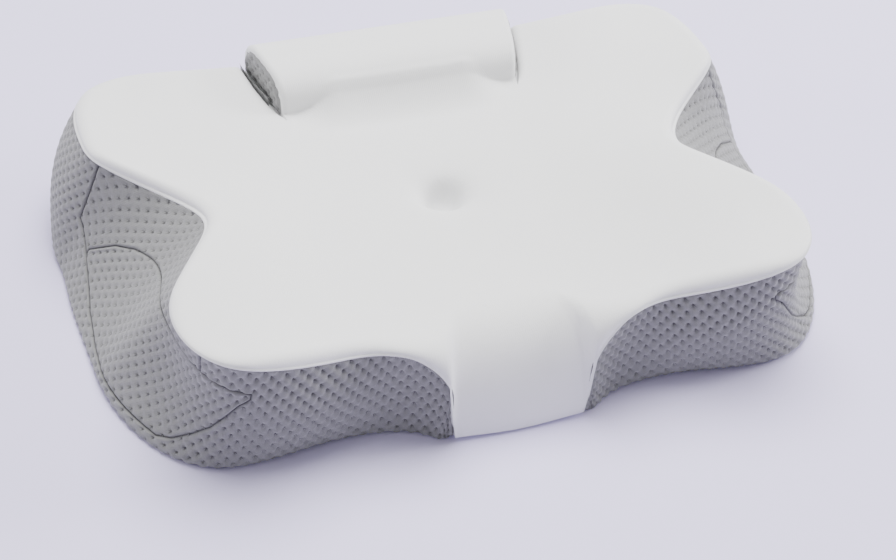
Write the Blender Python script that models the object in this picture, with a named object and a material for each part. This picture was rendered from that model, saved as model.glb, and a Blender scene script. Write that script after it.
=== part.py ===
"""A butterfly contour pillow: one filled foam cushion in white cloth, with grey knit panels round its sides."""

import bpy
import numpy as np

MM = 0.001

# Overall sizes, in mm
DEPTH = 400.0
BOLSTER_TOP = 118.0

# Cloth panels, in mm
SHEET = 2.0
GAP = 0.3
SEAM_GAP = 0.4
HEM = 1.5
HEM_MOST = 0.4
HEM_AND_GAP_MOST = 0.5
FOOT_ROUNDING = 9.0
FOOT_MOST = 0.8
FOOT_SHARE_MOST = 0.1
FOOT_LIFT = 0.4
UNDERSIDE_STEP = 0.5
UNDERSIDE_AT_TONGUE = 2.5
SOLE_STEP = 0.1
TONGUE_RECESS = 0.1

# Top surface, in mm
NAVEL_RADIUS = 17.0
NAVEL_DEPTH = 22.0
ROLL_STEPS = (0.0, 0.06, 0.22, 0.5, 1.0)
RING_STEPS = (0.9, 0.78, 0.66, 0.54, 0.42, 0.3)
NAVEL_STEPS = (2.1, 1.45, 1.05, 0.8, 0.45)

# Neck bolster across the back, in mm
BOLSTER_HALF_LENGTH = 106.0
BOLSTER_HALF_DEPTH = 44.0
BOLSTER_MIDDLE_Y = DEPTH / 2 - BOLSTER_HALF_DEPTH
BOLSTER_SPRING = 86.0
BOLSTER_FULLNESS = 3.0
BOLSTER_STEPS = 20
# The part of its outline that lies inside the cushion: distance from its middle, height
BOLSTER_ROOT = ((-44.0, 70.0), (20.0, 70.0), (34.0, 81.5), (43.0, 82.5))
CAP_INSET = 1.0

# Soft fillet where the white cloth runs up the front of the bolster, in mm
FILLET_HEIGHT = 9.0
FILLET_REACH = 16.0
FILLET_END = 12.0
FILLET_FADE = 40.0

# Slits between the bolster and the back lobes, in mm
SLIT_FLOOR = 83.0
SLIT_WALL_TOP = 92.0
SLIT_WALL_FRONT_Y = 140.0
SLIT_WALL_BACK_Y = 190.0
SLIT_FRONT_Y = 106.0
SLIT_MOUTH_Y = 215.0
SLIT_NARROW = 2.8
SLIT_OPENS_Y = 126.0
SLIT_WIDE = 15.0
SLIT_WIDE_Y = 198.0
SLIT_CUT_TOP = BOLSTER_TOP + 10

# Right half of the outline, from the middle of the back to the middle of the tongue, in mm.
# The rim is the seam under the white cloth; the base is where the side meets the floor.
STATIONS = (
    # name, rim x, rim y, rim height, base x, base y, bulge, crown line x, crown line y, fullness
    ("back_middle", 0, 198, 80, 0, 196, 3, 0, 186, 2.0),
    ("slit_back", 128, 195, 81, 128, 195, 4, 121, 184, 2.0),
    ("back_crest", 204, 191, 98, 206, 196, 4, 196, 181, 2.0),
    ("back_corner", 257, 175, 94, 271, 169, 12, 246, 168, 2.0),
    ("back_side", 267, 110, 100, 299.7, 107, 8, 256, 107, 2.0),
    ("side_seam", 256, 75, 99, 301.7, 72, -2, 245, 73, 2.0),
    ("notch_in", 217, 37, 92, 302.2, 36, 5, 206, 36, 2.0),
    ("notch", 193, -6, 97, 301.7, 2, 6, 182, -6, 2.0),
    ("notch_out", 202, -41, 103, 298, -45, 6, 191, -39, 2.0),
    ("front_back", 225, -82, 109, 294, -80, 2, 214, -79, 2.0),
    ("front_tip", 243, -132, 110, 278, -133, -16, 232, -127, 2.0),
    ("front_front", 212, -192, 110, 227, -181, -4, 205, -181, 2.0),
    ("hollow", 131, -183, 91, 148, -176, 8, 127, -171, 2.0),
    ("shoulder", 87, -189, 87, 88, -180, -3, 83, -175, 2.2),
    ("tongue_side", 54, -199, 48, 60, -193, 0, 47, -175, 2.6),
    ("tongue_foot", 53, -198, 5, 52, -192, 0, 37, -173, 3.0),
    ("tongue_middle", 0, -200, 4, 0, -199, 0, 0, -173, 3.0),
)

# Heights that the white top surface passes through, right half, in mm
CROWNS = (
    # x, y, height
    (0, 0, 79),
    (0, -90, 80),
    (0, -172, 87),
    (50, -172, 88),
    (90, -172, 92),
    (128, -168, 97),
    (200, -176, 112),
    (222, -166, 113),
    (231, -126, 113),
    (212, -84, 112),
    (190, -40, 107),
    (182, -6, 102),
    (206, 36, 98),
    (244, 76, 103),
    (253, 110, 104),
    (256, 140, 103),
    (243, 168, 101),
    (200, 177, 101),
    (128, 182, 95),
    (0, 182, 91),
    (0, 100, 83),
    (100, 30, 86),
    (105, -75, 88),
    (150, 110, 93),
)
CROWN_STIFFNESS = 60.0

# Seam lines across the side, as shares of its height at a place along the stations
SEAMS = (
    # place, arm pad's lower edge, arm pad's upper edge
    (0.0, 0.36, 0.66),
    (4.0, 0.44, 0.68),
    (4.9, 0.50, 0.62),
    (5.2, 0.43, 0.50),
    (5.6, 0.35, 0.39),
    (5.8, 0.32, 0.46),
    (6.1, 0.28, 0.56),
    (6.5, 0.23, 0.62),
    (7.0, 0.17, 0.65),
    (7.8, 0.12, 0.69),
    (8.6, 0.11, 0.74),
    (9.5, 0.10, 0.77),
    (10.2, 0.10, 0.79),
    (10.4, 0.14, 0.79),
    (10.65, 0.25, 0.78),
    (10.85, 0.36, 0.77),
    (11.0, 0.50, 0.76),
    (11.1, 0.62, 0.76),
    (11.2, 0.70, 0.75),
    (11.7, 0.55, 0.74),
    (12.5, 0.42, 0.70),
    (16.0, 0.36, 0.66),
)
# Rows of the side's grid that hold the gaps along the arm pad's lower and upper edges
PAD_LOW_ROW = 5
PAD_HIGH_ROW = 8

SIDE_SEAM = 4.9
PAD_START = 5.6
GUSSET_END = 10.6
PAD_TIP = 11.2
PANEL_END = 14.75
TONGUE_SEAM = 14.85
SEAM_EDGE = 0.001

# How far the rounded foot shrinks toward the tongue: places, shares
TONGUE_TAPER = ((12.8, 13.8), (1.0, 0.3))

# Stations where the seam turns down the tongue and along its foot
TIGHT_TURNS = (13, 14, 15)

HALF = len(STATIONS) - 1
ROUND = 2 * HALF
PLACE_STEP = 0.25
NUDGE = 0.01
SHARE_NUDGE = 1e-4
SEAM_CLEARANCE = 0.06
FLAT_FOOT = 0.01
FINE_STEP = 0.125
FINE_FROM = 10.25
FINE_TO = 11.125

COLOURS = {
    "white": (0.86, 0.86, 0.87),
    "grey": (0.23, 0.23, 0.24),
    "dark_grey": (0.16, 0.16, 0.17),
}


def closed_table():
    """The stations all the way round: the right half and its mirror image."""
    right = np.array([row[1:] for row in STATIONS], float)
    left = right[HALF - 1:0:-1].copy()
    left[:, [0, 3, 6]] *= -1
    return np.concatenate([right, left])


def tangents(values):
    """Slopes of the smooth closed curve through the stations, held back at the tight turns."""
    one = np.eye(len(values))
    system = 4 * one + np.roll(one, 1, 0) + np.roll(one, -1, 0)
    ahead = np.roll(values, -1, 0) - values
    behind = np.roll(ahead, 1, 0)
    slopes = np.linalg.solve(system, 3 * (ahead + behind))
    for tight in TIGHT_TURNS:
        for k in (tight, ROUND - tight):
            most = 2 * np.minimum(np.abs(ahead[k]), np.abs(behind[k])) * (ahead[k] * behind[k] > 0)
            slopes[k] = np.clip(slopes[k], -most, most)
    return slopes


TABLE = closed_table()
SLOPES = tangents(TABLE)


def at(place):
    """The table's values at places between the stations."""
    place = np.asarray(place, float)
    first = np.floor(place).astype(int)
    t = (place - first)[..., None]
    a, b = first % ROUND, (first + 1) % ROUND
    return (TABLE[a] * (1 + 2 * t) * (1 - t) ** 2 + SLOPES[a] * t * (1 - t) ** 2
            + TABLE[b] * t * t * (3 - 2 * t) + SLOPES[b] * t * t * (t - 1))


def mirrored(place):
    """The same place on the right half."""
    return np.where(place > HALF, ROUND - place, place)


def outward(place):
    """The level direction out of the side, square to the base line."""
    along = at(np.asarray(place) + NUDGE)[..., 3:5] - at(np.asarray(place) - NUDGE)[..., 3:5]
    normal = np.stack([-along[..., 1], along[..., 0]], -1)
    return normal / np.linalg.norm(normal, axis=-1, keepdims=True)


def wall(place, share):
    """The outer face of the side at a share of its height, with a rounded foot."""
    place, share = np.broadcast_arrays(np.asarray(place, float), np.asarray(share, float))
    row = at(place)
    height = row[..., 2]
    flat = row[..., 3:5] + (row[..., 0:2] - row[..., 3:5]) * share[..., None]
    reach = np.minimum(FOOT_ROUNDING * np.interp(mirrored(place), *TONGUE_TAPER), FOOT_MOST * height)
    low = np.clip(1 - share * height / reach, 0, 1)
    inset = reach * (1 - np.sqrt(1 - low ** 2))
    out = row[..., 5] * 4 * share * (1 - share) - inset
    flat = flat + outward(place) * out[..., None]
    return np.concatenate([flat, (share * height)[..., None]], -1)


def inward(place, share):
    """The direction into the side, square to its face."""
    upper = np.minimum(share + SHARE_NUDGE, 1)
    lower = np.maximum(share - SHARE_NUDGE, 0)
    round_it = wall(place + SHARE_NUDGE, share) - wall(place - SHARE_NUDGE, share)
    up_it = wall(place, upper) - wall(place, lower)
    normal = np.cross(round_it, up_it)
    normal = normal / np.linalg.norm(normal, axis=-1, keepdims=True)
    on_floor = share * at(place)[..., 2] < FLAT_FOOT
    return np.where(on_floor[..., None], (0.0, 0.0, 1.0), normal)


def travel(place):
    """How far the middle of the side runs in one whole step of place."""
    apart = wall(place + NUDGE, 0.5) - wall(place - NUDGE, 0.5)
    return np.linalg.norm(apart, axis=-1) / (2 * NUDGE)


def pair(place, toward):
    """A place half a gap to one side of a seam."""
    return place + toward * SEAM_GAP / 2 / travel(place)


def places():
    """Every column round the outline, with two at each seam."""
    half = list(np.arange(0, HALF + PLACE_STEP / 2, PLACE_STEP))
    half += list(np.arange(FINE_FROM + FINE_STEP, FINE_TO, 2 * FINE_STEP))
    seams = (SIDE_SEAM, PAD_START, GUSSET_END, PAD_TIP, PANEL_END, TONGUE_SEAM)
    half = [p for p in half if min(abs(p - s) for s in seams) > SEAM_CLEARANCE]
    for seam in seams:
        half += [pair(seam, -1), pair(seam, 1)]
    half = np.sort(half)
    return np.concatenate([half, (ROUND - half[1:-1])[::-1]])


def seam_gap(rise, place):
    """Half the gap at a seam line, measured up the side where the line climbs."""
    climb = np.gradient(rise, place) / travel(place)
    return SEAM_GAP / 2 * np.sqrt(1 + climb ** 2)


def shares(place):
    """Heights of the rows on the side, from the foot to just under the hem."""
    own = mirrored(place)
    low = np.interp(own, [row[0] for row in SEAMS], [row[1] for row in SEAMS])
    high = np.interp(own, [row[0] for row in SEAMS], [row[2] for row in SEAMS])
    height = at(place)[:, 2]
    low_gap = seam_gap(low * height, place) / height
    high_gap = seam_gap(high * height, place) / height
    top = 1 - np.minimum((HEM + GAP) / height, HEM_AND_GAP_MOST)
    foot = np.minimum(FOOT_ROUNDING / height, FOOT_MOST * low)
    foot = np.minimum(foot, FOOT_SHARE_MOST)
    rows = [0 * low, 0.12 * foot, 0.45 * foot, foot]
    rows += [(foot + low) / 2, low - low_gap, low + low_gap]
    rows += [(low + high) / 2, high - high_gap, high + high_gap]
    rows += [(high + top) / 2, top]
    return np.stack(rows, 1)


def spread(flat, centres):
    """How strongly each centre acts at each level point."""
    apart = np.linalg.norm(flat[..., None, :] - centres, axis=-1)
    return np.sqrt(apart ** 2 + CROWN_STIFFNESS ** 2)


def crown_weights():
    """The centres and strengths of the smooth surface through the crown heights."""
    rows = np.array(CROWNS, float)
    left = rows[rows[:, 0] > 0] * (-1, 1, 1)
    rows = np.concatenate([rows, left])
    return rows[:, :2], np.linalg.solve(spread(rows[:, :2], rows[:, :2]), rows[:, 2])


CENTRES, STRENGTHS = crown_weights()


def crown(flat):
    """The height of the top surface, with a fillet in front of the bolster and the navel pressed in."""
    height = spread(flat, CENTRES) @ STRENGTHS
    side, y = np.abs(flat[..., 0]), flat[..., 1]
    foot = BOLSTER_MIDDLE_Y - BOLSTER_HALF_DEPTH
    ramp = FILLET_HEIGHT * np.exp(-(((y - foot) / FILLET_REACH) ** 2))
    fade = np.clip((BOLSTER_HALF_LENGTH - FILLET_END - side) / FILLET_FADE, 0, 1)
    height = height + ramp * fade * fade * (3 - 2 * fade)
    radius = np.linalg.norm(flat, axis=-1) / NAVEL_RADIUS
    return height - NAVEL_DEPTH / (1 + radius ** 6)


def top_rows(place):
    """Rows of the white cloth from the seam inward to the middle."""
    row = at(place)
    rim, line = row[:, 0:2], row[:, 6:8]
    found = []
    for t in ROLL_STEPS:
        flat = rim + (line - rim) * t
        rise = (1 - (1 - t) ** row[:, 8]) ** (1 / row[:, 8])
        found.append(np.column_stack([flat, row[:, 2] + (crown(flat) - row[:, 2]) * rise]))
    for t in RING_STEPS:
        found.append(np.column_stack([line * t, crown(line * t)]))
    direction = line / np.linalg.norm(line, axis=1, keepdims=True)
    for t in NAVEL_STEPS:
        flat = direction * NAVEL_RADIUS * t
        found.append(np.column_stack([flat, crown(flat)]))
    return found


def make(name, points, faces):
    """An object from points in mm and faces."""
    mesh = bpy.data.meshes.new(name)
    mesh.from_pydata((np.asarray(points) * MM).tolist(), [], faces)
    piece = bpy.data.objects.new(name, mesh)
    bpy.context.scene.collection.objects.link(piece)
    return piece


def solid(name, rows, top, bottom):
    """A closed body made of rings from its top point down to its bottom point."""
    count = len(rows[0])
    points = np.concatenate([*rows, [top], [bottom]])
    here = np.arange(count)
    after = (here + 1) % count
    faces = []
    for k in range(len(rows) - 1):
        a, b = k * count, (k + 1) * count
        faces.append(np.column_stack([a + here, b + after, b + here]))
        faces.append(np.column_stack([a + here, a + after, b + after]))
    first, last = np.full(count, len(points) - 2), np.full(count, len(points) - 1)
    end = (len(rows) - 1) * count
    faces.append(np.column_stack([first, after, here]))
    faces.append(np.column_stack([last, end + here, end + after]))
    return make(name, points, np.concatenate(faces).tolist())


def panel(name, outer, inner, chosen):
    """A sheet of cloth over the chosen squares of the side's grid."""
    columns, rows = outer.shape[:2]
    count = columns * rows
    index = np.arange(count).reshape(columns, rows)
    j, k = np.nonzero(chosen)
    after = (j + 1) % columns
    a, b, c, d = index[j, k], index[after, k], index[after, k + 1], index[j, k + 1]
    front = np.concatenate([np.column_stack([a, d, b]), np.column_stack([d, c, b])])
    edges = np.concatenate([front[:, [0, 1]], front[:, [1, 2]], front[:, [2, 0]]]).tolist()
    known = {tuple(edge) for edge in edges}
    border = np.array([edge for edge in edges if (edge[1], edge[0]) not in known])
    start, stop = border[:, 0], border[:, 1]
    faces = np.concatenate([
        front,
        front[:, ::-1] + count,
        np.column_stack([stop, start, start + count]),
        np.column_stack([stop, start + count, stop + count]),
    ])
    points = np.concatenate([outer.reshape(-1, 3), inner.reshape(-1, 3)])
    used, renamed = np.unique(faces, return_inverse=True)
    return make(name, points[used], renamed.reshape(-1, 3).tolist())


def prism(name, outline, low, high, lengthwise=False):
    """A straight block over an outline; lengthwise, the outline stands across the width."""
    count = len(outline)
    if lengthwise:
        points = [(x, y, z) for x in (low, high) for y, z in outline]
    else:
        points = [(x, y, z) for z in (low, high) for x, y in outline]
    faces = [list(range(count))[::-1], list(range(count, 2 * count))]
    for k in range(count):
        after = (k + 1) % count
        faces.append([k, after, after + count, k + count])
    return make(name, points, faces)


def tool(piece, body, operation):
    """Takes a helper form out of a body, or joins it to the body."""
    piece.hide_render = True
    piece.display_type = "WIRE"
    modifier = body.modifiers.new(piece.name, "BOOLEAN")
    modifier.operation = operation
    modifier.solver = "EXACT"
    modifier.object = piece


def bolster_line(inset):
    """The bolster's rounded end line, from its back over the top to its front foot."""
    turn = np.linspace(np.pi, 0, BOLSTER_STEPS + 1)
    power = 2 / BOLSTER_FULLNESS
    level = np.sign(np.cos(turn)) * np.abs(np.cos(turn)) ** power
    rise = np.abs(np.sin(turn)) ** power
    y = BOLSTER_MIDDLE_Y - (BOLSTER_HALF_DEPTH - inset) * level
    z = BOLSTER_SPRING + (BOLSTER_TOP - inset - BOLSTER_SPRING) * rise
    return list(zip(y.tolist(), z.tolist()))


def slit_edge(y):
    """How far from the middle the lobe's side of the slit stands."""
    return BOLSTER_HALF_LENGTH + np.interp(y, (SLIT_OPENS_Y, SLIT_WIDE_Y), (SLIT_NARROW, SLIT_WIDE))


def slit_outline(side):
    """The level outline of the slit on one side."""
    line = [(BOLSTER_HALF_LENGTH, SLIT_FRONT_Y)]
    line += [(slit_edge(y), y) for y in (SLIT_FRONT_Y, SLIT_OPENS_Y, SLIT_WIDE_Y, SLIT_MOUTH_Y)]
    line.append((BOLSTER_HALF_LENGTH, SLIT_MOUTH_Y))
    line = [(side * x, y) for x, y in line]
    return line if side > 0 else line[::-1]


def slit_wall_outline(side):
    """The level outline of the grey strip on the lobe's side of the slit."""
    ends = (SLIT_WALL_FRONT_Y, SLIT_WALL_BACK_Y)
    line = [(slit_edge(y) - GAP, y) for y in ends]
    line += [(slit_edge(y) - GAP - SHEET, y) for y in ends[::-1]]
    line = [(side * x, y) for x, y in line]
    return line if side > 0 else line[::-1]


def cap_outline():
    """The upright outline of the bolster's end cap."""
    line = bolster_line(CAP_INSET)
    low = SLIT_FLOOR + GAP
    return [(line[0][0], low)] + line + [(line[-1][0], low)]


def material(name, colour, roughness):
    made = bpy.data.materials.new(name)
    made.use_nodes = True
    shader = made.node_tree.nodes["Principled BSDF"]
    shader.inputs["Base Color"].default_value = (*colour, 1)
    shader.inputs["Roughness"].default_value = roughness
    return made


def build():
    for thing in list(bpy.data.objects):
        bpy.data.objects.remove(thing, do_unlink=True)

    place = places()
    share = shares(place)
    columns = place[:, None] + 0 * share
    outer = wall(columns, share)
    depth = inward(columns, share)
    inner = outer + SHEET * depth
    own = mirrored(place)
    covered = own < TONGUE_SEAM
    recess = np.where(covered, SHEET + GAP, TONGUE_RECESS)
    body_wall = outer + depth * recess[:, None, None]
    body_wall[:, 0, 2] = np.where(covered, SHEET + GAP, 0)
    foot_line = outer[:, 0].copy()
    outer[:, 0, 2] = FOOT_LIFT

    # The cushion, ring by ring from the middle of its top to the middle of its underside
    top = top_rows(place)
    hem_share = 1 - np.minimum(HEM / at(place)[:, 2], HEM_MOST)
    hem = wall(place, hem_share)
    out = outward(place)
    tucked = hem + inward(place, hem_share) * recess[:, None]
    sole = body_wall[:, 0] - np.column_stack([out * SOLE_STEP, np.zeros(len(out))])
    sole[:, 2] = SHEET + GAP
    rows = top[::-1] + [hem, tucked] + [body_wall[:, k] for k in reversed(range(body_wall.shape[1]))] + [sole]
    middle = (0, 0, crown(np.zeros(2)))
    cushion = solid("top_cushion", rows, middle, (0, 0, SHEET + GAP))
    tool(prism("slit_cut_right", slit_outline(1), SLIT_FLOOR, SLIT_CUT_TOP), cushion, "DIFFERENCE")
    tool(prism("slit_cut_left", slit_outline(-1), SLIT_FLOOR, SLIT_CUT_TOP), cushion, "DIFFERENCE")
    root = [(BOLSTER_MIDDLE_Y + y, z) for y, z in BOLSTER_ROOT]
    ends = (-BOLSTER_HALF_LENGTH, BOLSTER_HALF_LENGTH)
    tool(prism("bolster_form", bolster_line(0) + root, *ends, lengthwise=True), cushion, "UNION")

    # Grey panels round the side
    middle_place = (place + np.append(place[1:], ROUND)) / 2
    spot = mirrored(middle_place)[:, None]
    right_half = (middle_place < HALF)[:, None]
    row = np.arange(share.shape[1] - 1)[None, :]
    foot_rows = row < PAD_LOW_ROW
    pad_rows = (row > PAD_LOW_ROW) & (row < PAD_HIGH_ROW)
    upper_rows = row > PAD_HIGH_ROW
    after_side_seam = spot > SIDE_SEAM + SEAM_EDGE
    before_gusset_end = spot < GUSSET_END - SEAM_EDGE
    boxing = foot_rows & (spot < PANEL_END - SEAM_EDGE)
    boxing |= (row >= 0) & (spot < SIDE_SEAM - SEAM_EDGE)
    boxing |= (row >= 0) & (spot > PAD_TIP + SEAM_EDGE) & (spot < PANEL_END - SEAM_EDGE)
    boxing |= upper_rows & (spot > GUSSET_END + SEAM_EDGE) & (spot < PANEL_END - SEAM_EDGE)
    gusset = upper_rows & after_side_seam & before_gusset_end
    gusset |= (row > PAD_LOW_ROW) & after_side_seam & (spot < PAD_START - SEAM_EDGE)
    pad = pad_rows & (spot > PAD_START + SEAM_EDGE) & (spot < PAD_TIP - SEAM_EDGE)
    pieces = [(cushion, "white"), (panel("boxing", outer, inner, boxing), "grey")]
    for side, half in (("right", right_half), ("left", ~right_half)):
        pieces.append((panel("side_gusset_" + side, outer, inner, gusset & half), "grey"))
        pieces.append((panel("arm_pad_" + side, outer, inner, pad & half), "grey"))

    # Grey end caps of the bolster and the strips on the far side of the slits
    for side, sign in (("right", 1), ("left", -1)):
        near = sign * (BOLSTER_HALF_LENGTH + GAP)
        far = sign * (BOLSTER_HALF_LENGTH + GAP + SHEET)
        cap = prism("bolster_cap_" + side, cap_outline(), min(near, far), max(near, far), lengthwise=True)
        strip = prism("slit_wall_" + side, slit_wall_outline(sign), SLIT_FLOOR + GAP, SLIT_WALL_TOP)
        pieces += [(cap, "grey"), (strip, "grey")]

    # Flat underside inside the foot of the panels
    edge = foot_line - np.column_stack([out * UNDERSIDE_STEP, np.zeros(len(out))])
    edge[own > TIGHT_TURNS[0]] *= 1 - UNDERSIDE_AT_TONGUE / (DEPTH / 2)
    upper, lower = edge.copy(), edge.copy()
    upper[:, 2], lower[:, 2] = SHEET, 0
    pieces.append((solid("underside", [upper, lower], (0, 0, SHEET), (0, 0, 0)), "dark_grey"))

    looks = {name: material(name, colour, 0.9) for name, colour in COLOURS.items()}
    for piece, look in pieces:
        piece.data.materials.append(looks[look])


build()
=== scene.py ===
"""A butterfly contour pillow of memory foam: white jersey over the top, dimpled grey spacer knit round its sides."""

import bpy
import numpy as np
from mathutils import Matrix
from mathutils.kdtree import KDTree


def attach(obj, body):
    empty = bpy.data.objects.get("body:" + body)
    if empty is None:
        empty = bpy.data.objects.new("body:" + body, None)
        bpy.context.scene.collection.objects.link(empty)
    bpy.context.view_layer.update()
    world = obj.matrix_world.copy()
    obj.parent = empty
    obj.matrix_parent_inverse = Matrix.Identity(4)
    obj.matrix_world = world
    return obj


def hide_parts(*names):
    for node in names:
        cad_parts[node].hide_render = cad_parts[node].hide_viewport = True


MM = 0.001

# Shape of the pillow, in mm
DEPTH = 400.0
BOLSTER_TOP = 118.0
SHEET = 2.0
GAP = 0.3
FOOT_ROUNDING = 9.0
FOOT_MOST = 0.8
FOOT_LIFT = 0.4
TONGUE_RECESS = 0.1
NAVEL_RADIUS = 15.0
NAVEL_DEPTH = 24.0
NAVEL_POWER = 5
NAVEL_SHOULDER = 34.0
NAVEL_SHOULDER_DEPTH = 3.0
BOLSTER_HALF_LENGTH = 108.0
BOLSTER_SLANT = 0.18
BOLSTER_HALF_DEPTH = 41.0
BOLSTER_MIDDLE_Y = DEPTH / 2 - BOLSTER_HALF_DEPTH
BOLSTER_SPRING = 86.0
BOLSTER_FULLNESS = 3.0
FILLET_HEIGHT = 24.0
FILLET_TOP_Y = 124.0
FILLET_REACH = 34.0
FILLET_FALL = 30.0
FILLET_END = 14.0
FILLET_FADE = 40.0
SLIT_FLOOR = 83.0
SLIT_WALL_TOP = 92.0
SLIT_EDGE = (
    # y, how far from the middle the lobe's side of the slit stands
    (104, 98.4),
    (112, 100.9),
    (118, 103.6),
    (125, 105.6),
    (140, 110.0),
    (160, 115.0),
    (185, 119.5),
    (215, 123.0),
)

# Right half of the outline, from the middle of the back to the middle of the tongue, in mm.
# The rim is the seam under the white cloth; the base is where the side meets the floor.
STATIONS = (
    # name, rim x, rim y, rim height, base x, base y, bulge, crown line x, crown line y, fullness
    ("back_middle", 0, 198, 80, 0, 196, 3, 0, 186, 2.0),
    ("slit_back", 128, 195, 81, 128, 195, 4, 121, 184, 2.0),
    ("back_crest", 204, 191, 98, 206, 196, 4, 196, 181, 2.0),
    ("back_corner", 257, 175, 94, 271, 169, 12, 246, 168, 2.0),
    ("back_side", 267, 110, 100, 299.7, 107, 8, 256, 107, 2.0),
    ("side_seam", 256, 75, 99, 301.7, 72, -2, 245, 73, 2.0),
    ("notch_in", 217, 37, 92, 302.2, 36, 5, 206, 36, 2.0),
    ("notch", 193, -6, 97, 301.7, 2, 6, 182, -6, 2.0),
    ("notch_out", 202, -41, 103, 298, -45, 6, 191, -39, 2.0),
    ("front_back", 225, -82, 109, 294, -80, 2, 214, -79, 2.0),
    ("front_tip", 243, -132, 110, 278, -133, -16, 232, -127, 2.0),
    ("front_front", 212, -192, 110, 227, -181, -4, 205, -181, 2.0),
    ("hollow", 131, -183, 91, 148, -176, 8, 127, -171, 2.0),
    ("shoulder", 87, -189, 87, 88, -180, -3, 83, -172, 2.1),
    ("tongue_side", 54, -199, 48, 60, -193, 0, 46, -153, 2.2),
    ("tongue_foot", 53, -198, 5, 52, -192, 0, 40, -145, 2.15),
    ("tongue_middle", 0, -200, 4, 0, -199, 0, 0, -140, 2.1),
)

# Heights that the white top surface passes through, right half, in mm
CROWNS = (
    # x, y, height
    (0, 0, 79),
    (0, -90, 80),
    (0, -172, 87),
    (50, -172, 88),
    (90, -172, 92),
    (128, -168, 97),
    (200, -176, 112),
    (222, -166, 113),
    (231, -126, 113),
    (212, -84, 112),
    (190, -40, 107),
    (182, -6, 102),
    (206, 36, 98),
    (244, 76, 103),
    (253, 110, 104),
    (256, 140, 103),
    (243, 168, 101),
    (200, 177, 101),
    (128, 182, 95),
    (0, 182, 91),
    (0, 100, 83),
    (100, 30, 86),
    (105, -75, 88),
    (150, 110, 93),
)
CROWN_STIFFNESS = 60.0

# Seam lines across the side, as shares of its height at a place along the stations
SEAMS = (
    # place, arm pad's lower edge, arm pad's upper edge
    (0.0, 0.36, 0.66),
    (4.0, 0.44, 0.68),
    (4.9, 0.50, 0.62),
    (5.2, 0.43, 0.50),
    (5.6, 0.35, 0.39),
    (5.8, 0.32, 0.46),
    (6.1, 0.28, 0.56),
    (6.5, 0.23, 0.62),
    (7.0, 0.17, 0.65),
    (7.8, 0.12, 0.69),
    (8.6, 0.11, 0.74),
    (9.5, 0.10, 0.77),
    (10.2, 0.10, 0.79),
    (10.4, 0.14, 0.79),
    (10.65, 0.25, 0.78),
    (10.85, 0.36, 0.77),
    (11.0, 0.50, 0.76),
    (11.1, 0.62, 0.76),
    (11.2, 0.70, 0.75),
    (11.7, 0.55, 0.74),
    (12.5, 0.42, 0.70),
    (16.0, 0.36, 0.66),
)

SIDE_SEAM = 4.9
PAD_START = 5.6
GUSSET_END = 10.6
PAD_TIP = 11.2
TONGUE_SEAM = 14.85
TONGUE_TAPER = ((12.8, 13.8), (1.0, 0.3))
TIGHT_TURNS = (13, 14, 15)

HALF = len(STATIONS) - 1
ROUND = 2 * HALF
NUDGE = 0.01
SHARE_NUDGE = 1e-4
FINE_PLACE = 0.01

# White cloth's grid
TOP_SPACING = 3.0
BOLSTER_SPACING = 2.6
ROLL_ROWS = 24
SLOPE_ROWS = 52
BASIN_ROWS = 26
NAVEL_RINGS = (36, 32, 28.5, 25.5, 23, 21, 19.2, 17.6, 16, 14, 11.5, 8.5, 5, 2)
NAVEL_EDGE = 40.0
MEETING_Y = 104.0
MEETING_PLACE = 2.6
NOTCH_END_Y = 111.0
MEETING_SHARE = 0.5
LOWER_SHARES = (0.9, 0.78, 0.64, 0.5, 0.36, 0.24, 0.14, 0.07, 0.03)
UNDER_CLOTH = 4.5
# The bead along the seam: how far below the rim and how far out, in mm
BEAD = ((2.2, -1.6), (1.9, 0.5), (1.2, 1.0), (0.4, 0.9))
BEAD_MOST = 0.45
SLIT_ROLL = 6.0
SLIT_ROLL_REACH = 25.0
SLIT_BEND = 30.0
BOLSTER_END_ROLL = 4.0
BLEND_MIDDLE = 6.0
BLEND_END = 1.5
SECTION_POINTS = 160

# Grey cloth's grid
SIDE_SPACING = 1.55
EDGE_OFFSETS = (0.5, 1.1, 1.9, 2.9)
EDGE_CLEAR = 3.4
BAND_ENDS = (0.0, 0.014, 0.034, 0.06, 0.09)
BAND_ROWS = (20, 34, 20)
TOP_TUCK = 0.8

# The spacer knit's dimples, in mm
PITCH = 11.0
ROW = 6.0
DIMPLE_DEPTH = 1.8
DIMPLE_RADIUS = 1.5
# Places and the height of the puffed cells there, in mm
PUFF = ((0.0, 4.9, 5.2, 10.4, 11.3, 14.85), (0.4, 0.4, 0.25, 0.3, 1.0, 1.0))
SEAM_DIVE = 1.5
SEAM_WIDTH = 1.0
SEAM_RAISE = 0.35
SEAM_RAISE_AT = 2.4
SEAM_RAISE_WIDTH = 1.2

# Camera
FOCAL_LENGTH = 80.36
SENSOR = 36.0
CAMERA_PLACE = (-0.4047, -1.1931, 1.0446)
CAMERA_AXES = ((0.9530, 0.1714, -0.2496), (-0.3012, 0.6211, -0.7235), (0.0310, 0.7647, 0.6436))


def closed_table():
    """The stations all the way round: the right half and its mirror image."""
    right = np.array([row[1:] for row in STATIONS], float)
    left = right[HALF - 1:0:-1].copy()
    left[:, [0, 3, 6]] *= -1
    return np.concatenate([right, left])


def tangents(values):
    """Slopes of the smooth closed curve through the stations, held back at the tight turns."""
    one = np.eye(len(values))
    system = 4 * one + np.roll(one, 1, 0) + np.roll(one, -1, 0)
    ahead = np.roll(values, -1, 0) - values
    behind = np.roll(ahead, 1, 0)
    slopes = np.linalg.solve(system, 3 * (ahead + behind))
    for tight in TIGHT_TURNS:
        for k in (tight, ROUND - tight):
            most = 2 * np.minimum(np.abs(ahead[k]), np.abs(behind[k])) * (ahead[k] * behind[k] > 0)
            slopes[k] = np.clip(slopes[k], -most, most)
    return slopes


TABLE = closed_table()
SLOPES = tangents(TABLE)


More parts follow.
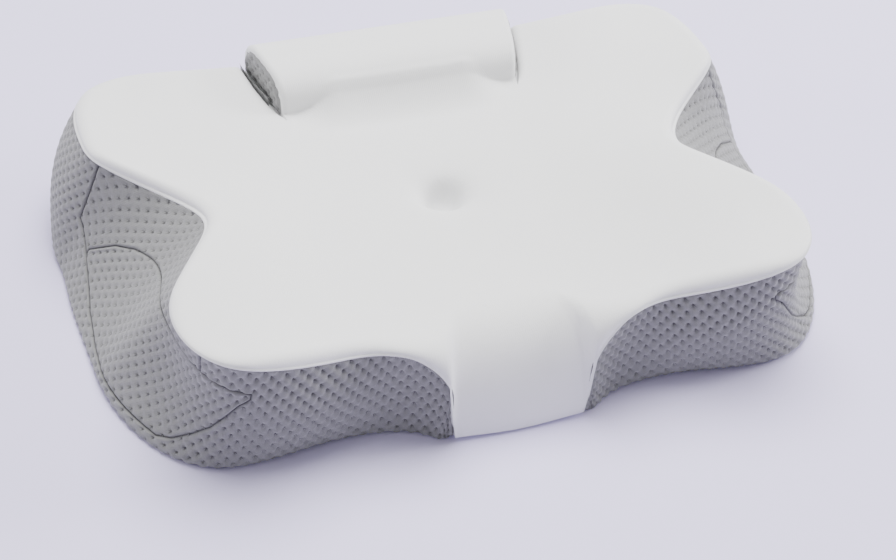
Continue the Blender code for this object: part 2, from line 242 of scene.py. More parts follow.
def at(place):
    """The table's values at places between the stations."""
    place = np.asarray(place, float)
    first = np.floor(place).astype(int)
    t = (place - first)[..., None]
    a, b = first % ROUND, (first + 1) % ROUND
    return (TABLE[a] * (1 + 2 * t) * (1 - t) ** 2 + SLOPES[a] * t * (1 - t) ** 2
            + TABLE[b] * t * t * (3 - 2 * t) + SLOPES[b] * t * t * (t - 1))


def mirrored(place):
    """The same place on the right half."""
    return np.where(place > HALF, ROUND - place, place)


def outward(place):
    """The level direction out of the side, square to the base line."""
    along = at(np.asarray(place) + NUDGE)[..., 3:5] - at(np.asarray(place) - NUDGE)[..., 3:5]
    normal = np.stack([-along[..., 1], along[..., 0]], -1)
    return normal / np.linalg.norm(normal, axis=-1, keepdims=True)


def wall(place, share):
    """The outer face of the side at a share of its height, with a rounded foot."""
    place, share = np.broadcast_arrays(np.asarray(place, float), np.asarray(share, float))
    row = at(place)
    height = row[..., 2]
    flat = row[..., 3:5] + (row[..., 0:2] - row[..., 3:5]) * share[..., None]
    reach = np.minimum(FOOT_ROUNDING * np.interp(mirrored(place), *TONGUE_TAPER), FOOT_MOST * height)
    low = np.clip(1 - share * height / reach, 0, 1)
    inset = reach * (1 - np.sqrt(1 - low ** 2))
    out = row[..., 5] * 4 * share * (1 - share) - inset
    flat = flat + outward(place) * out[..., None]
    return np.concatenate([flat, (share * height)[..., None]], -1)


def inward(place, share):
    """The direction into the side, square to its face."""
    upper = np.minimum(share + SHARE_NUDGE, 1)
    lower = np.maximum(share - SHARE_NUDGE, 0)
    round_it = wall(place + SHARE_NUDGE, share) - wall(place - SHARE_NUDGE, share)
    up_it = wall(place, upper) - wall(place, lower)
    normal = np.cross(round_it, up_it)
    return normal / np.linalg.norm(normal, axis=-1, keepdims=True)


def travel(place):
    """How far the middle of the side runs in one whole step of place."""
    apart = wall(place + NUDGE, 0.5) - wall(place - NUDGE, 0.5)
    return np.linalg.norm(apart, axis=-1) / (2 * NUDGE)


def spread(flat, centres):
    """How strongly each centre acts at each level point."""
    apart = np.linalg.norm(flat[..., None, :] - centres, axis=-1)
    return np.sqrt(apart ** 2 + CROWN_STIFFNESS ** 2)


def crown_weights():
    """The centres and strengths of the smooth surface through the crown heights."""
    rows = np.array(CROWNS, float)
    left = rows[rows[:, 0] > 0] * (-1, 1, 1)
    rows = np.concatenate([rows, left])
    return rows[:, :2], np.linalg.solve(spread(rows[:, :2], rows[:, :2]), rows[:, 2])


CENTRES, STRENGTHS = crown_weights()


def ease(t):
    """A soft step from 0 to 1."""
    t = np.clip(t, 0, 1)
    return t * t * (3 - 2 * t)


def crown(flat):
    """The height of the top surface, with a slope up to the bolster and the navel pressed in."""
    height = spread(flat, CENTRES) @ STRENGTHS
    side, y = np.abs(flat[..., 0]), flat[..., 1]
    ramp = FILLET_HEIGHT * np.clip((y - FILLET_TOP_Y) / FILLET_REACH + 1, 0, 1) ** 2
    ramp = ramp * (1 - ease((y - FILLET_TOP_Y) / FILLET_FALL))
    height = height + ramp * ease((BOLSTER_HALF_LENGTH - FILLET_END - side) / FILLET_FADE)
    radius = np.linalg.norm(flat, axis=-1)
    height = height - NAVEL_SHOULDER_DEPTH * np.exp(-((radius / NAVEL_SHOULDER) ** 2))
    return height - NAVEL_DEPTH / (1 + (radius / NAVEL_RADIUS) ** NAVEL_POWER)


def even(line, spacing):
    """Positions along a line of points, as shares of its index, that stand an even distance apart."""
    run = np.concatenate([[0], np.cumsum(np.linalg.norm(np.diff(line, axis=0), axis=1))])
    count = max(int(np.ceil(run[-1] / spacing)), 2)
    return np.interp(np.linspace(0, run[-1], count + 1), run, np.arange(len(line)))


def resampled(line, count):
    """A line of points drawn again with an even distance between them."""
    run = np.concatenate([[0], np.cumsum(np.linalg.norm(np.diff(line, axis=0), axis=1))])
    where = np.linspace(0, run[-1], count)
    return np.stack([np.interp(where, run, line[:, k]) for k in range(line.shape[1])], 1)


def blended(a, b, width):
    """The larger of two heights, with a soft hollow where they meet."""
    share = np.clip(0.5 + (a - b) / (2 * width), 0, 1)
    return b + (a - b) * share + width * share * (1 - share)


def quarter(depth, radius):
    """How far a round edge has dropped at a distance in from its side."""
    t = np.clip(1 - depth / radius, 0, 1)
    return radius * (1 - np.sqrt(1 - t * t))


def bolster_end(y):
    """How far from the middle the bolster's end stands."""
    return BOLSTER_HALF_LENGTH + BOLSTER_SLANT * (y - BOLSTER_MIDDLE_Y)


def slit_edge(y):
    """How far from the middle the lobe's side of the slit stands."""
    return np.interp(y, [row[0] for row in SLIT_EDGE], [row[1] for row in SLIT_EDGE])


def rim_place(x):
    """The place on the back of the rim at a distance from the middle."""
    fine = np.arange(0, 2, FINE_PLACE)
    return np.interp(x, at(fine)[:, 0], fine)


SLIT_PLACE = float(rim_place(slit_edge(at(1.0)[1])))


def bolster_profile(inset, count):
    """The bolster's section at an inset from its full size, from its back over the top to its front foot."""
    turn = np.linspace(0, np.pi, count)
    power = 2 / BOLSTER_FULLNESS
    level = np.sign(np.cos(turn)) * np.abs(np.cos(turn)) ** power
    rise = np.abs(np.sin(turn)) ** power
    y = BOLSTER_MIDDLE_Y + (BOLSTER_HALF_DEPTH - inset) * level
    z = BOLSTER_SPRING + (BOLSTER_TOP - inset - BOLSTER_SPRING) * rise
    return y, z


def bolster_section(share):
    """The white cloth over the bolster at a share of its half length, from the back seam to the basin."""
    inset = quarter(BOLSTER_HALF_LENGTH * (1 - share), BOLSTER_END_ROLL)
    y, z = bolster_profile(inset, SECTION_POINTS)
    run_out = np.linspace(y[-1], MEETING_Y, SECTION_POINTS // 4)[1:]
    y, z = np.append(y, run_out), np.append(z, z[-1] - (y[-1] - run_out))
    x = bolster_end(y) * share
    base = crown(np.column_stack([x, y]))
    near_end = BOLSTER_HALF_LENGTH * (1 - share) / FILLET_FADE
    width = BLEND_END + (BLEND_MIDDLE - BLEND_END) * ease(near_end)
    z = np.where(y < BOLSTER_MIDDLE_Y, blended(z, base, width), z)
    rim = at(rim_place(bolster_end(at(0.5)[1]) * share))
    line = np.column_stack([np.append(rim[0], x), np.append(rim[1], y), np.append(rim[2], z)])
    return resampled(line, ROLL_ROWS + SLOPE_ROWS + 1)


def lobe_paths(place):
    """The white cloth over the lobes: a row of points for each place, from the rim to the meeting ring."""
    row = at(place)
    rim, height, line, fullness = row[:, 0:2], row[:, 2], row[:, 6:8].copy(), row[:, 8]
    line[:, 0] += (slit_edge(line[0, 1]) - line[0, 0]) * np.clip(1 - (place - SLIT_PLACE) / 1.2, 0, 1) ** 2
    start = np.array([slit_edge(MEETING_Y), MEETING_Y])
    turn = np.linspace(0, np.pi / 2, ROLL_ROWS + 1)[None, :]
    power = (2 / fullness)[:, None]
    t = 1 - np.cos(turn) ** power
    rise = np.sin(turn) ** power
    roll = rim[:, None] + (line - rim)[:, None] * t[..., None]
    target = at(MEETING_PLACE)[6:8] * MEETING_SHARE
    along = ((place - SLIT_PLACE) / (MEETING_PLACE - SLIT_PLACE))[:, None]
    ring = np.where(along < 1, start + (target - start) * along, line * MEETING_SHARE)
    s = np.linspace(0, 1, SLOPE_ROWS + 1)[None, 1:, None]
    slope = line[:, None] + (ring - line)[:, None] * s
    flat = np.concatenate([roll, slope], 1)
    straight = line[0, 0] + (start[0] - line[0, 0]) * (flat[..., 1] - line[0, 1]) / (start[1] - line[0, 1])
    bend = np.where(flat[..., 1] > MEETING_Y, slit_edge(flat[..., 1]) - straight, 0)
    bend = bend * np.clip(1 - (flat[..., 0] - straight) / SLIT_BEND, 0, 1) ** 2
    flat[..., 0] += bend
    rise = np.concatenate([rise, np.ones((len(place), SLOPE_ROWS))], 1)
    top = crown(flat)
    drop = quarter(flat[..., 0] - slit_edge(flat[..., 1]), SLIT_ROLL)
    drop = drop * ease((flat[..., 1] - NOTCH_END_Y) / SLIT_ROLL_REACH)
    z = height[:, None] + (top - drop - height[:, None]) * rise
    return np.concatenate([flat, z[..., None]], -1)


def right_columns():
    """Shares of the half length of the bolster's columns, and places of the lobes' columns."""
    near_end = BOLSTER_HALF_LENGTH - np.array([6.0, 4.6, 3.6, 2.8, 2.1, 1.5, 1.0, 0.6, 0.25, 0.0])
    across = np.append(np.arange(0, near_end[0] - 1, BOLSTER_SPACING), near_end) / BOLSTER_HALF_LENGTH
    fine = np.arange(SLIT_PLACE, HALF, FINE_PLACE)
    fine = np.append(fine, HALF)
    spots = np.interp(even(at(fine)[:, :2], TOP_SPACING), np.arange(len(fine)), fine)
    close = SLIT_PLACE + (spots[1] - SLIT_PLACE) * np.array([0.15, 0.35, 0.6])
    return across, np.sort(np.append(spots, close))


def link(name, points, faces, uv, edge=None):
    """An object from points in mm and faces, with the cloth's own coordinates and its seam distance in mm."""
    mesh = bpy.data.meshes.new(name)
    mesh.from_pydata((np.asarray(points) * MM).tolist(), [], faces.tolist() if hasattr(faces, "tolist") else faces)
    layer = mesh.uv_layers.new(name="cloth")
    corner = np.zeros(len(mesh.loops), int)
    mesh.loops.foreach_get("vertex_index", corner)
    layer.data.foreach_set("uv", np.asarray(uv, np.float32)[corner].ravel())
    mesh.polygons.foreach_set("use_smooth", np.full(len(mesh.polygons), True))
    if edge is not None:
        mesh.attributes.new("seam", "FLOAT", "POINT").data.foreach_set("value", np.asarray(edge, np.float32))
    mesh.update()
    piece = bpy.data.objects.new(name, mesh)
    bpy.context.scene.collection.objects.link(piece)
    return piece


def build_top():
    """The foam cushion in its white cloth: rings from the middle of its underside to the navel."""
    across, spots = right_columns()
    upper = np.concatenate([np.stack([bolster_section(x) for x in across]), lobe_paths(spots)])
    place = np.concatenate([rim_place(bolster_end(at(0.5)[1]) * across), spots])
    ring = upper[:, -1, :2]
    heading = ring / np.linalg.norm(ring, axis=1, keepdims=True)
    s = np.linspace(0, 1, BASIN_ROWS + 1)[None, 1:, None]
    basin = ring[:, None] + (heading * NAVEL_EDGE - ring)[:, None] * s
    navel = heading[:, None] * np.array(NAVEL_RINGS)[None, :, None]
    inner = np.concatenate([basin, navel], 1)
    inner = np.concatenate([inner, crown(inner)[..., None]], -1)

    row = at(place)
    out = outward(place)
    below = []
    covered = mirrored(place) < TONGUE_SEAM
    recess = np.where(covered, UNDER_CLOTH, TONGUE_RECESS)
    for share in LOWER_SHARES[::-1]:
        at_share = np.full(len(place), share)
        below.append(wall(place, at_share) + inward(place, at_share) * recess[:, None])
    sole = below[0].copy()
    sole[:, :2] -= out * np.where(covered, UNDER_CLOTH, 0)[:, None]
    sole[:, 2] = np.where(covered, SHEET + GAP, 0)
    bead = []
    for down, away in BEAD:
        share = 1 - np.minimum(down / row[:, 2], BEAD_MOST)
        away = np.where(covered, away, 0)
        edge = wall(place, share)
        edge[:, :2] += out * away[:, None]
        bead.append(edge)
    grid = np.concatenate([np.stack([sole] + below + bead, 1), upper, inner], 1)

    half = len(place)
    grid = np.concatenate([grid, (grid * (-1, 1, 1))[half - 2:0:-1]])
    columns, rows = grid.shape[:2]
    index = np.arange(columns * rows).reshape(columns, rows)
    after = np.roll(index, -1, 0)
    quads = np.stack([index[:, :-1], after[:, :-1], after[:, 1:], index[:, 1:]], -1)

    # The two slits beside the bolster
    first = 1 + len(below) + len(bead)
    end = len(across) - 1
    last = first + int(np.argmax(upper[end, :, 1] < NOTCH_END_Y))
    open_here = np.zeros(quads.shape[:2], bool)
    far_side = columns - end - 1
    open_here[[end, far_side], first:last] = True
    faces = [quads[~open_here]]
    points = grid.reshape(-1, 3)
    for left, right in ((end, end + 1), (far_side, far_side + 1)):
        lips = []
        for column in (left, right):
            lip = grid[column, first:last + 1].copy()
            lip[:, 2] = np.minimum(lip[:, 2], SLIT_FLOOR)
            start = len(points)
            points = np.concatenate([points, lip])
            floor = np.arange(start, start + len(lip))
            lips.append((index[column, first:last + 1], floor))
        (a, a_low), (b, b_low) = lips
        faces.append(np.stack([a[:-1], a_low[:-1], a_low[1:], a[1:]], -1))
        faces.append(np.stack([b[1:], b_low[1:], b_low[:-1], b[:-1]], -1))
        faces.append(np.stack([a_low[:-1], b_low[:-1], b_low[1:], a_low[1:]], -1))
        faces.append(np.array([[a[-1], a_low[-1], b_low[-1], b[-1]]]))
        faces.append(np.array([[b[0], b_low[0], a_low[0], a[0]]]))
    faces = np.concatenate(faces).tolist()
    bottom, top = len(points), len(points) + 1
    points = np.concatenate([points, [(0, 0, SHEET + GAP), (0, 0, crown(np.zeros(2)))]])
    for j in range(columns):
        k = (j + 1) % columns
        faces.append([bottom, int(index[k, 0]), int(index[j, 0])])
        faces.append([top, int(index[j, -1]), int(index[k, -1])])
    uv = points[:, :2] + np.column_stack([0 * points[:, 2], -points[:, 2]])
    return link("top_jersey", points, faces, uv)


def side_columns():
    """Places of the grey cloth's columns on the right half, closer together beside the seams."""
    found = []
    limits = (0.0, SIDE_SEAM, PAD_START, GUSSET_END, PAD_TIP, TONGUE_SEAM)
    for first, last in zip(limits[:-1], limits[1:]):
        fine = np.linspace(first, last, 400)
        spots = np.interp(even(wall(fine, 0.5), SIDE_SPACING), np.arange(len(fine)), fine)
        clear_first = EDGE_CLEAR / travel(first) if first > 0 else 0
        clear_last = EDGE_CLEAR / travel(last)
        found += [p for p in spots if first + clear_first <= p <= last - clear_last]
        found += [last - d / travel(last) for d in EDGE_OFFSETS]
        if first > 0:
            found += [first + d / travel(first) for d in EDGE_OFFSETS]
        found.append(last)
    return np.unique(np.round(found, 7))


def band(count):
    """Rows across a band of cloth, closer together at both edges."""
    middle = np.linspace(BAND_ENDS[-1], 1 - BAND_ENDS[-1], count)
    return np.concatenate([BAND_ENDS[:-1], middle, 1 - np.array(BAND_ENDS[-2::-1])])


def side_grid():
    """The side's columns and rows: places, shares of height, and the rows that lie on the pad's edges."""
    half = side_columns()
    place = np.concatenate([half, (ROUND - half[1:])[::-1]])
    own = mirrored(place)
    low = np.interp(own, [row[0] for row in SEAMS], [row[1] for row in SEAMS])
    high = np.interp(own, [row[0] for row in SEAMS], [row[2] for row in SEAMS])
    top = 1 - np.minimum(TOP_TUCK / at(place)[:, 2], BEAD_MOST)
    rows = []
    marks = []
    for start, stop, count in zip((0 * low, low, high), (low, high, top), BAND_ROWS):
        steps = band(count)
        if rows:
            steps = steps[1:]
        for t in steps:
            rows.append(start + (stop - start) * t)
        marks.append(len(rows) - 1)
    return place, np.stack(rows, 1), marks


def lattice(u, v):
    """Distance to the nearest dimple and the height pattern of the cells between them."""
    def from_centre(shift_u, shift_v):
        du = u + shift_u - PITCH * np.round((u + shift_u) / PITCH)
        dv = v + shift_v - 2 * ROW * np.round((v + shift_v) / (2 * ROW))
        return np.hypot(du, dv)
    distance = np.minimum(from_centre(0, 0), from_centre(PITCH / 2, ROW))
    cells = -np.cos(2 * np.pi * u / PITCH) * np.cos(np.pi * v / ROW)
    return distance, cells


def border_of(faces):
    """The edges of a piece of cloth that only one of its faces uses."""
    edges = np.concatenate([faces[:, [0, 1]], faces[:, [1, 2]], faces[:, [2, 3]], faces[:, [3, 0]]])
    ordered = np.sort(edges, axis=1)
    _, where, count = np.unique(ordered, axis=0, return_index=True, return_counts=True)
    return edges[where[count == 1]]


def from_border(points, faces):
    """How far each point is from the piece's sewn edges."""
    edges = border_of(faces)
    a, b = points[edges[:, 0]], points[edges[:, 1]]
    sewn = np.maximum(a[:, 2], b[:, 2]) > FOOT_ROUNDING / 4
    a, b = a[sewn], b[sewn]
    marks = np.concatenate([a + (b - a) * t for t in (0.0, 0.25, 0.5, 0.75)])
    tree = KDTree(len(marks))
    for k, mark in enumerate(marks):
        tree.insert(mark, k)
    tree.balance()
    return np.array([tree.find(p)[2] for p in points])


def knitted(points, away, faces, u, v, puff):
    """Points of a piece of spacer knit, pressed in at its dimples and drawn in at its seams."""
    edge = from_border(points, faces)
    distance, cells = lattice(u, v)
    out = puff * cells - DIMPLE_DEPTH * np.exp(-((distance / DIMPLE_RADIUS) ** 2))
    out = out * ease(edge / SEAM_RAISE_AT)
    out = out - SEAM_DIVE * np.exp(-((edge / SEAM_WIDTH) ** 2))
    out = out + SEAM_RAISE * np.exp(-(((edge - SEAM_RAISE_AT) / SEAM_RAISE_WIDTH) ** 2))
    return points + away * out[:, None], edge


def build_sides():
    """The grey panels round the side, cut from one shared grid."""
    place, share, (pad_low, pad_high, _) = side_grid()
    columns = place[:, None] + 0 * share
    base = wall(columns, share)
    depth = inward(columns, share)
    on_floor = share * at(place)[:, 2:3] < NUDGE
    depth[on_floor] = (0, 0, 1)
    base[..., 2] = np.maximum(base[..., 2], FOOT_LIFT)
    middle = wall(place, 0.5)
    steps = np.linalg.norm(np.diff(middle, axis=0), axis=1)
    run = np.concatenate([[0], np.cumsum(steps)])
    wide_gap = np.abs(np.diff(place)) > 2 * (HALF - TONGUE_SEAM) - NUDGE
    run = run - np.concatenate([[0], np.cumsum(np.where(wide_gap, steps, 0))])
    rise = np.concatenate([np.zeros((len(place), 1)),
                           np.cumsum(np.linalg.norm(np.diff(base, axis=1), axis=2), axis=1)], 1)
    own = mirrored(place)
    puff = np.interp(own, *PUFF)[:, None] + 0 * share

    count = len(place)
    index = np.arange(count * share.shape[1]).reshape(count, -1)
    after = np.roll(index, -1, 0)
    quads = np.stack([index[:, :-1], after[:, :-1], after[:, 1:], index[:, 1:]], -1)
    next_place = np.append(place[1:], ROUND)
    centre = (place + next_place) / 2
    spot = mirrored(centre)[:, None]
    right_half = (centre < HALF)[:, None]
    row = np.arange(share.shape[1] - 1)[None, :]
    to_tongue = spot < TONGUE_SEAM
    boxing = (row < pad_low) & to_tongue
    boxing |= (row >= 0) & (spot < SIDE_SEAM)
    boxing |= (row >= 0) & (spot > PAD_TIP) & to_tongue
    boxing |= (row >= pad_high) & (spot > GUSSET_END) & to_tongue
    gusset = (row >= pad_high) & (spot > SIDE_SEAM) & (spot < GUSSET_END)
    gusset |= (row >= pad_low) & (spot > SIDE_SEAM) & (spot < PAD_START)
    pad = (row >= pad_low) & (row < pad_high) & (spot > PAD_START) & (spot < PAD_TIP)
    chosen = {"boxing_knit": boxing}
    for side, half in (("right", right_half), ("left", ~right_half)):
        chosen["side_gusset_knit_" + side] = gusset & half
        chosen["arm_pad_knit_" + side] = pad & half
    pieces = {}
    for name, mask in chosen.items():
        faces = quads[mask]
        used, renamed = np.unique(faces, return_inverse=True)
        faces = renamed.reshape(-1, 4)
        points = base.reshape(-1, 3)[used]
        away = -depth.reshape(-1, 3)[used]
        u = (run[:, None] + 0 * share).ravel()[used]
        v = rise.ravel()[used]
        shaped, edge = knitted(points, away, faces, u, v, puff.ravel()[used])
        shaped[:, 2] = np.maximum(shaped[:, 2], FOOT_LIFT)
        pieces[name] = link(name, shaped, faces, np.column_stack([u, v]), edge)
    return pieces


def strips(points):
    """The squares of a grid of points."""
    columns, rows = points.shape[:2]
    index = np.arange(columns * rows).reshape(columns, rows)
    return np.stack([index[:-1, :-1], index[1:, :-1], index[1:, 1:], index[:-1, 1:]], -1).reshape(-1, 4)


def build_cap(side):
    """The grey end cap of the bolster, a little domed, over the bolster's end."""
    edge_y, edge_z = bolster_profile(BOLSTER_END_ROLL - 0.6, SECTION_POINTS // 2)
    z = SLIT_FLOOR + (edge_z[:, None] - SLIT_FLOOR) * np.linspace(0, 1, 30)[None, :]
    points = np.stack([bolster_end(edge_y[:, None] + 0 * z), edge_y[:, None] + 0 * z, z], -1)
    faces = strips(points)
    points = points.reshape(-1, 3)
    edge = from_border(points, faces)
    distance, cells = lattice(points[:, 1], points[:, 2])
    dome = 2.0 * ease(edge / 5) + 0.25 * cells - DIMPLE_DEPTH * np.exp(-((distance / DIMPLE_RADIUS) ** 2))
    points[:, 0] = side * (points[:, 0] - 0.2 + np.maximum(dome, 0) * ease(edge / 2))
    if side < 0:
        faces = faces[:, ::-1]
    return link("bolster_cap_knit_" + ("right" if side > 0 else "left"), points, faces, points[:, 1:3], edge)


def build_slit_wall(side):
    """The grey strip on the lobe's side of the slit."""
    y, t = np.meshgrid(np.linspace(138, 194, 50), np.linspace(0, 1, 9), indexing="ij")
    z = SLIT_FLOOR + (SLIT_WALL_TOP + 1.5 - SLIT_FLOOR) * t
    x = slit_edge(y) - 0.5 - 0.9 * np.sin(np.pi * t)
    points = np.stack([side * x, y, z], -1)
    faces = strips(points)
    if side > 0:
        faces = faces[:, ::-1]
    uv = np.stack([y, z], -1).reshape(-1, 2)
    inside = np.full(len(uv), PITCH)
    return link("slit_wall_knit_" + ("right" if side > 0 else "left"), points.reshape(-1, 3), faces, uv, inside)


def build_underside():
    """The flat cloth under the pillow, just inside the foot of the side."""
    fine = np.arange(0, ROUND, 0.05)
    edge = wall(fine, 0 * fine)[:, :2] - outward(fine) * 0.6
    edge[mirrored(fine) > TIGHT_TURNS[0]] *= 1 - 2.5 / (DEPTH / 2)
    rings = [np.column_stack([edge * 0.998, np.full(len(fine), SHEET)]),
             np.column_stack([edge, np.full(len(fine), 1.0)]),
             np.column_stack([edge * 0.998, np.zeros(len(fine))])]
    rings += [np.column_stack([edge * t, np.zeros(len(fine))]) for t in np.linspace(0.99, 0.02, 60)]
    points = np.concatenate(rings)
    count = len(fine)
    here = np.arange(count)
    after = (here + 1) % count
    faces = []
    for k in range(len(rings) - 1):
        a, b = k * count, (k + 1) * count
        faces.append(np.column_stack([a + here, b + here, b + after, a + after]))
    return link("underside_cloth", points, np.concatenate(faces), points[:, :2])


class Nodes:
    """Short ways to add and join the nodes of one material."""

    def __init__(self, name):
        self.material = bpy.data.materials.new(name)
        self.material.use_nodes = True
        self.tree = self.material.node_tree
        self.shader = self.tree.nodes["Principled BSDF"]

    def add(self, kind, **settings):
        node = self.tree.nodes.new(kind)
        for key, value in settings.items():
            setattr(node, key, value)
        return node

    def join(self, source, target):
        self.tree.links.new(source, target)

    def math(self, operation, *values):
        node = self.add("ShaderNodeMath", operation=operation)
        for socket, value in zip(node.inputs, values):
            if hasattr(value, "links"):
                self.join(value, socket)
            else:
                socket.default_value = value
        return node.outputs[0]

    def cloth(self):
        uv = self.add("ShaderNodeUVMap", uv_map="cloth")
        parts = self.add("ShaderNodeSeparateXYZ")
        self.join(uv.outputs[0], parts.inputs[0])
        return uv.outputs[0], parts.outputs[0], parts.outputs[1]

    def noise(self, where, scale, detail=2.0):
        node = self.add("ShaderNodeTexNoise")
        node.inputs["Scale"].default_value = scale
        node.inputs["Detail"].default_value = detail
        self.join(where, node.inputs["Vector"])
        return node.outputs[0]

    def mix(self, share, a, b):
        node = self.add("ShaderNodeMix", data_type="RGBA")
        self.join(share, node.inputs[0])
        for socket, value in ((node.inputs[6], a), (node.inputs[7], b)):
            if hasattr(value, "links"):
                self.join(value, socket)
            else:
                socket.default_value = (*value, 1)
        return node.outputs[2]

    def bump(self, height, distance, strength=1.0):
        node = self.add("ShaderNodeBump")
        node.inputs["Distance"].default_value = distance
        node.inputs["Strength"].default_value = strength
        self.join(height, node.inputs["Height"])
        self.join(node.outputs[0], self.shader.inputs["Normal"])


def jersey():
    """Fine white jersey: columns of small stitches, a soft sheen and a faint unevenness."""
    nodes = Nodes("white_jersey")
    where, u, v = nodes.cloth()
    across = nodes.math("SINE", nodes.math("MULTIPLY", u, 2 * np.pi / 1.6))
    along = nodes.math("SINE", nodes.math("MULTIPLY", v, 2 * np.pi / 1.8))
    stitches = nodes.math("MULTIPLY", across, along)
    fine = nodes.noise(where, 0.9, 4.0)
    broad = nodes.noise(where, 0.02, 2.0)
    height = nodes.math("ADD", nodes.math("MULTIPLY", stitches, 0.35), fine)
    colour = nodes.mix(broad, (0.80, 0.80, 0.81), (0.83, 0.83, 0.84))
    spots = nodes.math("MULTIPLY", nodes.math("ADD", stitches, 1.0), 0.5)
    colour = nodes.mix(nodes.math("MULTIPLY", nodes.math("POWER", spots, 6.0), 0.10), colour, (0.55, 0.55, 0.57))
    nodes.join(colour, nodes.shader.inputs["Base Color"])
    nodes.shader.inputs["Roughness"].default_value = 0.92
    nodes.shader.inputs["Sheen Weight"].default_value = 0.25
    nodes.shader.inputs["Sheen Roughness"].default_value = 0.5
    nodes.shader.inputs["Specular IOR Level"].default_value = 0.2
    nodes.bump(height, 0.00012, 0.8)
    return nodes.material


def spacer_knit():
    """Grey spacer knit: puffy cells between dimples with short creases, and fine slanting stitches, with painted
    shade darkening the dimple pits and painted shadow along the seam grooves.
    """
    nodes = Nodes("grey_spacer_knit")
    where, u, v = nodes.cloth()

    def centre(shift_u, shift_v):
        du = nodes.math("WRAP", nodes.math("ADD", u, shift_u), PITCH / 2, -PITCH / 2)
        dv = nodes.math("WRAP", nodes.math("ADD", v, shift_v), ROW, -ROW)
        square = nodes.math("ADD", nodes.math("MULTIPLY", du, du), nodes.math("MULTIPLY", dv, dv))
        return nodes.math("SQRT", square), nodes.math("ARCTAN2", dv, du)

    first, first_angle = centre(0.0, 0.0)
    second, second_angle = centre(PITCH / 2, ROW)
    nearer = nodes.math("LESS_THAN", first, second)
    distance = nodes.math("MINIMUM", first, second)
    turn = nodes.math("ADD", nodes.math("MULTIPLY", first_angle, nearer),
                      nodes.math("MULTIPLY", second_angle, nodes.math("SUBTRACT", 1.0, nearer)))
    rays = nodes.math("POWER", nodes.math("ABSOLUTE", nodes.math("COSINE", nodes.math("MULTIPLY", turn, 2.5))), 4.0)
    reach = nodes.math("ADD", 0.85, nodes.math("MULTIPLY", rays, 0.75))
    pit = nodes.math("EXPONENT", nodes.math("MULTIPLY", nodes.math("POWER", nodes.math("DIVIDE", distance, reach), 2.0), -1.0))
    slant = nodes.math("ADD", nodes.math("MULTIPLY", u, 0.6), v)
    stitches = nodes.math("SINE", nodes.math("MULTIPLY", slant, 2 * np.pi / 1.5))
    across = nodes.math("SINE", nodes.math("MULTIPLY", u, 2 * np.pi / 1.1))
    weave = nodes.math("MULTIPLY", nodes.math("ADD", stitches, across), 0.12)
    fibre = nodes.noise(where, 1.4, 4.0)
    blotch = nodes.noise(where, 0.06, 3.0)
    height = nodes.math("ADD", nodes.math("ADD", weave, nodes.math("MULTIPLY", fibre, 0.6)),
                        nodes.math("MULTIPLY", pit, -2.4))
    colour = nodes.mix(fibre, (0.17, 0.17, 0.172), (0.27, 0.27, 0.273))
    colour = nodes.mix(nodes.math("MULTIPLY", blotch, 0.25), colour, (0.28, 0.28, 0.285))
    # Painted shade: the colour darkens to near black in the dimple pits.
    colour = nodes.mix(nodes.math("MULTIPLY", pit, 0.85), colour, (0.05, 0.05, 0.052))
    # Painted shadow: the colour darkens to near black within about a millimetre of each sewn edge, where the seam
    # groove lies.
    seam = nodes.add("ShaderNodeAttribute", attribute_name="seam").outputs["Fac"]
    seam_groove_shade = nodes.math("EXPONENT", nodes.math("MULTIPLY", nodes.math("POWER", nodes.math("DIVIDE", seam, 0.75), 2.0), -1.0))
    colour = nodes.mix(nodes.math("MULTIPLY", seam_groove_shade, 0.85), colour, (0.03, 0.03, 0.031))
    nodes.join(colour, nodes.shader.inputs["Base Color"])
    nodes.shader.inputs["Roughness"].default_value = 0.88
    nodes.shader.inputs["Sheen Weight"].default_value = 0.35
    nodes.shader.inputs["Sheen Roughness"].default_value = 0.45
    nodes.shader.inputs["Specular IOR Level"].default_value = 0.25
    nodes.bump(height, 0.0004, 0.8)
    return nodes.material


def plain_knit():
    """The underside's dark flat knit with small grip dots."""
    nodes = Nodes("underside_knit")
    where, u, v = nodes.cloth()
    across = nodes.math("SINE", nodes.math("MULTIPLY", u, 2 * np.pi / 6.0))
    along = nodes.math("SINE", nodes.math("MULTIPLY", v, 2 * np.pi / 6.0))
    dots = nodes.math("GREATER_THAN", nodes.math("MULTIPLY", across, along), 0.72)
    fibre = nodes.noise(where, 1.2, 4.0)
    colour = nodes.mix(fibre, (0.15, 0.15, 0.155), (0.22, 0.22, 0.225))
    colour = nodes.mix(nodes.math("MULTIPLY", dots, 0.6), colour, (0.09, 0.09, 0.092))
    nodes.join(colour, nodes.shader.inputs["Base Color"])
    nodes.shader.inputs["Roughness"].default_value = 0.9
    nodes.shader.inputs["Sheen Weight"].default_value = 0.2
    nodes.bump(nodes.math("ADD", fibre, dots), 0.0003, 0.7)
    return nodes.material


def plain(name, colour, roughness):
    made = bpy.data.materials.new(name)
    made.use_nodes = True
    shader = made.node_tree.nodes["Principled BSDF"]
    shader.inputs["Base Color"].default_value = (*colour, 1)
    shader.inputs["Roughness"].default_value = roughness
    shader.inputs["Specular IOR Level"].default_value = 0.0
    return made


def lamp(name, place, look_at, size, power, colour):
    """A large soft light."""
    data = bpy.data.lights.new(name, "AREA")
    data.shape = "DISK"
    data.size = size
    data.energy = power
    data.color = colour
    thing = bpy.data.objects.new(name, data)
    bpy.context.scene.collection.objects.link(thing)
    back = np.array(place, float) - np.array(look_at, float)
    back /= np.linalg.norm(back)
    right = np.cross((0, 0, 1), back)
    right /= np.linalg.norm(right)
    up = np.cross(back, right)
    turn = Matrix(np.column_stack([right, up, back]).tolist()).to_4x4()
    thing.matrix_world = Matrix.Translation(place) @ turn
    return thing


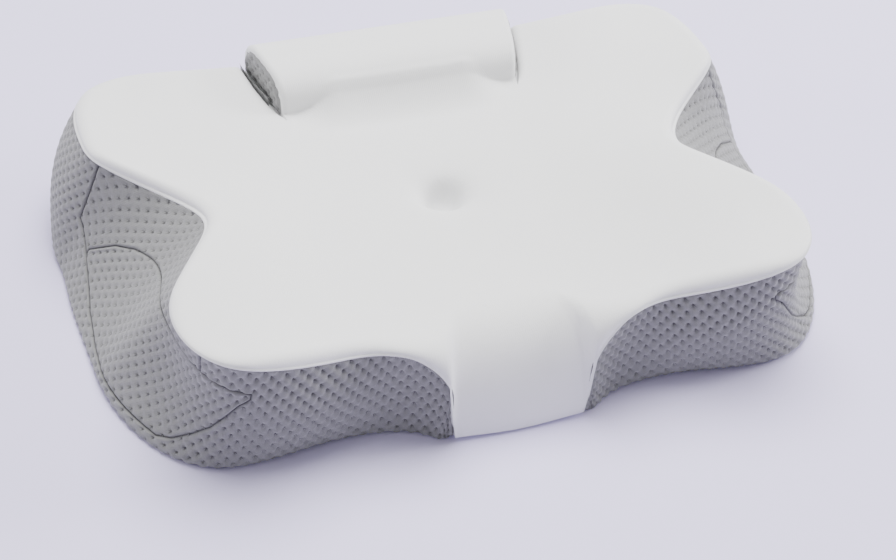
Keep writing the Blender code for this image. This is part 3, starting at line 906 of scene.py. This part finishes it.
def studio():
    """The pale floor, the soft lights and the camera."""
    mesh = bpy.data.meshes.new("floor")
    mesh.from_pydata([(-6, -6, 0), (6, -6, 0), (6, 6, 0), (-6, 6, 0)], [], [(0, 1, 2, 3)])
    floor = bpy.data.objects.new("floor", mesh)
    bpy.context.scene.collection.objects.link(floor)
    mesh.materials.append(plain("floor_paint", (0.74, 0.69, 0.96), 1.0))

    world = bpy.data.worlds.new("studio_air")
    world.use_nodes = True
    world.node_tree.nodes["Background"].inputs["Color"].default_value = (1.0, 1.0, 1.0, 1)
    world.node_tree.nodes["Background"].inputs["Strength"].default_value = 0.55
    bpy.context.scene.world = world
    lamp("above", (0.3, 0.7, 2.6), (0, 0, 0.05), 2.4, 170, (1.0, 1.0, 1.0))
    lamp("key", (2.2, -0.1, 0.9), (0, 0, 0.05), 0.9, 45, (1.0, 1.0, 1.0))
    lamp("fill", (-2.2, 0.7, 0.8), (0, 0, 0.05), 1.0, 16, (1.0, 1.0, 1.0))

    data = bpy.data.cameras.new("photo_camera")
    data.lens = FOCAL_LENGTH
    data.sensor_width = SENSOR
    camera = bpy.data.objects.new("photo_camera", data)
    bpy.context.scene.collection.objects.link(camera)
    camera.matrix_world = Matrix.Translation(CAMERA_PLACE) @ Matrix(CAMERA_AXES).to_4x4()
    bpy.context.scene.camera = camera


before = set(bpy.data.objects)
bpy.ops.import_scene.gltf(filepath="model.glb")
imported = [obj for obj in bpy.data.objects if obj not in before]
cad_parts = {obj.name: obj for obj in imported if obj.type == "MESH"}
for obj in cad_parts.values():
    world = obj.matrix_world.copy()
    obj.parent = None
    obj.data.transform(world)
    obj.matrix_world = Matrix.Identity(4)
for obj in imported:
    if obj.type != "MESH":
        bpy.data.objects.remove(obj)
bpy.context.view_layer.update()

top = build_top()
sides = build_sides()
caps = {side: build_cap(sign) for side, sign in (("right", 1), ("left", -1))}
walls = {side: build_slit_wall(sign) for side, sign in (("right", 1), ("left", -1))}
underside = build_underside()

white, grey, dark = jersey(), spacer_knit(), plain_knit()
top.data.materials.append(white)
underside.data.materials.append(dark)
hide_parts("top_cushion")
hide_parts("underside")

grey_pieces = [(sides["boxing_knit"], "boxing", (1.90, 0.11), 0.14)]
for side in ("right", "left"):
    grey_pieces += [
        (sides["side_gusset_knit_" + side], "side_gusset_" + side, (0.32, 0.07), 0.012),
        (sides["arm_pad_knit_" + side], "arm_pad_" + side, (0.26, 0.07), 0.012),
        (caps[side], "bolster_cap_" + side, (0.08, 0.034), 0.0024),
        (walls[side], "slit_wall_" + side, (0.056, 0.011), 0.0006),
    ]
for piece, node, flat, area in grey_pieces:
    piece.data.materials.append(grey)
    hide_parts(node)
for piece in [top, underside] + [row[0] for row in grey_pieces]:
    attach(piece, "root")

studio()
